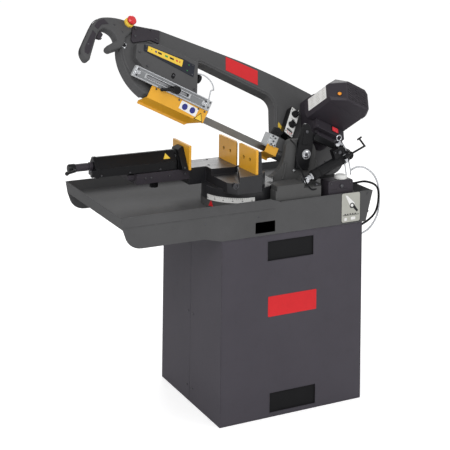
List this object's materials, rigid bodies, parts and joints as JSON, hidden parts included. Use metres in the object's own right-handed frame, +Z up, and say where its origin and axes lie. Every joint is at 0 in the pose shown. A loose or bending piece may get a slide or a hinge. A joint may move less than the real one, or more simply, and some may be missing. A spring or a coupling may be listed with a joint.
{
  "type": "mitring band saw",
  "caption": "Pull-down band saw whose tilting, swivelling head with leaning band wheels cuts bar stock held in a screw vise, on a chip tray and sheet-metal cabinet.",
  "frame": {"origin": "on the floor, under the middle of the cabinet's width and depth", "axes": "+Z up, +X to the right along the cabinet front towards the motor, +Y to the back"},
  "size_m": [1.3349, 0.6, 1.5705],
  "materials": {
    "aluminium": "machined",
    "amber_paint": "gloss paint",
    "black_paint": "satin paint",
    "black_rubber": "matt",
    "body_grey": "textured satin paint",
    "cabinet_grey": "satin powder coat",
    "cast_grey": "painted casting",
    "chrome": "polished",
    "cream_plastic": "satin",
    "dark_plum": "satin paint",
    "red_plastic": "gloss",
    "steel": "ground"
  },
  "bodies": {
    "stand": {"cabinet_front_half": "cabinet_grey", "cabinet_back_half": "cabinet_grey", "cabinet_floor": "cabinet_grey", "coolant_tank": "body_grey", "base_frame": "body_grey", "chip_tray": "body_grey", "bed_casting": "black_paint", "degree_scale": "aluminium", "fixed_jaw_back": "amber_paint", "fixed_jaw_front": "amber_paint", "vise_rail": "dark_plum", "vise_housing": "black_paint", "pump_box": "dark_plum", "pump_cable": "black_rubber"},
    "pump_lid": {"pump_cap": "cream_plastic"},
    "screw": {"vise_screw": "dark_plum", "vise_handle": "black_paint"},
    "jaw": {"vise_ram": "steel", "jaw_carrier": "black_paint", "moving_jaw": "amber_paint"},
    "rail_clamp": {"rail_clamp": "black_paint"},
    "swivel": {"swivel_arm": "cast_grey", "mitre_pointer": "red_plastic", "pivot_column": "cast_grey"},
    "mitre_lock": {"mitre_lock_lever": "black_paint"},
    "head": {"pivot_shaft": "steel", "bow_casting": "body_grey", "blade_cover": "body_grey", "gearbox": "dark_plum", "motor_body": "dark_plum", "motor_fan_cover": "dark_plum", "switch_box": "dark_plum", "control_box": "black_paint", "control_cover": "dark_plum", "handle": "body_grey", "stop_collar": "amber_paint", "pivot_arm": "black_paint", "right_guide": "aluminium", "right_guard": "amber_paint", "saw_blade": "steel"},
    "guide_arm": {"guide_bar": "aluminium", "left_guide": "aluminium", "left_guard": "amber_paint"},
    "guide_clamp": {"guide_clamp": "black_paint"},
    "tension_screw": {"tension_screw": "black_paint"},
    "idler_carrier": {"idler_carrier": "steel"},
    "idler": {"idler_wheel": "cast_grey"},
    "drive": {"drive_wheel": "cast_grey", "drive_shaft": "steel"},
    "fan": {"motor_fan": "aluminium"},
    "stop": {"stop_button": "red_plastic"},
    "trigger": {"trigger": "dark_plum"},
    "speed": {"speed_knob": "black_paint"},
    "mode": {"mode_knob": "black_paint"},
    "switch": {"rocker_switch": "red_plastic"},
    "rod": {"cylinder_rod": "chrome"},
    "tube": {"cylinder_tube": "black_paint"},
    "valve": {"valve_knob": "chrome"},
    "crank": {"feed_crank": "steel"}
  },
  "joints": [
    {"name": "mitre_swivel", "type": "hinge", "parent": "stand", "child": "swivel", "pos_m": [-0.1635, -0.093, 0.83], "axis": [0, 0, 1], "range_deg": [0, 60]},
    {"name": "mitre_lock_turn", "type": "hinge", "parent": "swivel", "child": "mitre_lock", "pos_m": [0.1565, -0.17, 0.83], "axis": [1, 0, 0], "range_deg": [0, 60]},
    {"name": "head_tilt", "type": "hinge", "parent": "swivel", "child": "head", "pos_m": [0.1095, -0.093, 0.995], "axis": [0, -1, 0], "range_deg": [-5, 26.5]},
    {"name": "cylinder_swing", "type": "hinge", "parent": "swivel", "child": "rod", "pos_m": [0.0725, -0.235, 0.909], "axis": [0, -1, 0], "range_deg": [-3.6, 18.2]},
    {"name": "cylinder_stroke", "type": "slide", "parent": "rod", "child": "tube", "axis": [0.9304, 0, 0.3665], "range_m": [-0.0052, 0.0258]},
    {"name": "valve_knob_turn", "type": "hinge", "parent": "tube", "child": "valve", "pos_m": [0.22577, -0.235, 1.02741], "axis": [-0.3665, 0, 0.9304], "range_deg": [-180, 180]},
    {"name": "feed_crank_turn", "type": "hinge", "parent": "tube", "child": "crank", "pos_m": [0.25418, -0.261, 0.99347], "axis": [0.9304, 0, 0.3665], "range_deg": [-90, 90]},
    {"name": "vise_screw_turn", "type": "hinge", "parent": "stand", "child": "screw", "pos_m": [-0.7525, 0.005, 0.993], "axis": [1, 0, 0], "range_deg": [-5, 6845]},
    {"name": "vise_jaw_travel", "type": "slide", "parent": "stand", "child": "jaw", "axis": [1, 0, 0], "range_m": [0, 0.19]},
    {"name": "rail_clamp_turn", "type": "hinge", "parent": "stand", "child": "rail_clamp", "pos_m": [-0.4895, 0.005, 0.9], "axis": [0, 0, 1], "range_deg": [-60, 60]},
    {"name": "pump_cap_turn", "type": "hinge", "parent": "stand", "child": "pump_lid", "pos_m": [0.2445, -0.226, 0.9], "axis": [0, 0, 1], "range_deg": [-90, 90]},
    {"name": "guide_arm_slide", "type": "slide", "parent": "head", "child": "guide_arm", "axis": [0.8949, 0, -0.4462], "range_m": [-0.01, 0.02]},
    {"name": "guide_clamp_turn", "type": "hinge", "parent": "head", "child": "guide_clamp", "pos_m": [-0.46618, -0.153, 1.29487], "axis": [0, -1, 0], "range_deg": [-60, 30]},
    {"name": "tension_screw_turn", "type": "hinge", "parent": "head", "child": "tension_screw", "pos_m": [-0.37128, -0.02176, 1.33731], "axis": [0.8949, 0, -0.4462], "range_deg": [-5, 1445]},
    {"name": "tension_slide", "type": "slide", "parent": "head", "child": "idler_carrier", "axis": [0.8949, 0, -0.4462], "range_m": [0, 0.008]},
    {"name": "idler_spin", "type": "hinge", "parent": "idler_carrier", "child": "idler", "pos_m": [-0.49994, 0.00541, 1.37507], "axis": [0.2927, -0.7547, 0.5871], "continuous": true},
    {"name": "drive_spin", "type": "hinge", "parent": "head", "child": "drive", "pos_m": [0.23569, 0.00541, 1.0083], "axis": [0.2927, -0.7547, 0.5871], "continuous": true},
    {"name": "fan_spin", "type": "hinge", "parent": "head", "child": "fan", "pos_m": [0.31848, -0.0983, 1.17435], "axis": [0.2927, -0.7547, 0.5871], "continuous": true},
    {"name": "stop_push", "type": "slide", "parent": "head", "child": "stop", "axis": [-0.2927, 0.7547, -0.5871], "range_m": [0, 0.0028]},
    {"name": "trigger_pull", "type": "slide", "parent": "head", "child": "trigger", "axis": [-0.8949, 0, 0.4462], "range_m": [0, 0.007]},
    {"name": "speed_knob_turn", "type": "hinge", "parent": "head", "child": "speed", "pos_m": [0.14489, -0.01773, 1.12601], "axis": [0.2927, -0.7547, 0.5871], "range_deg": [-130, 130]},
    {"name": "mode_knob_turn", "type": "hinge", "parent": "head", "child": "mode", "pos_m": [0.10669, -0.05767, 1.09373], "axis": [0.2927, -0.7547, 0.5871], "range_deg": [-45, 45]},
    {"name": "switch_rock", "type": "hinge", "parent": "head", "child": "switch", "pos_m": [0.29512, -0.09766, 1.06249], "axis": [0.3367, 0.6561, 0.6754], "range_deg": [-8, 8]}
  ],
  "couplings": [
    {"joint": "cylinder_swing", "follows": "head_tilt", "ratio": 0.679},
    {"joint": "cylinder_stroke", "follows": "head_tilt", "m_per_rad": 0.0549},
    {"joint": "vise_screw_turn", "follows": "vise_jaw_travel", "rad_per_m": 628.32},
    {"joint": "tension_screw_turn", "follows": "tension_slide", "rad_per_m": 3141.6},
    {"joint": "idler_spin", "follows": "drive_spin", "ratio": 1},
    {"joint": "fan_spin", "follows": "drive_spin", "ratio": 18}
  ]
}
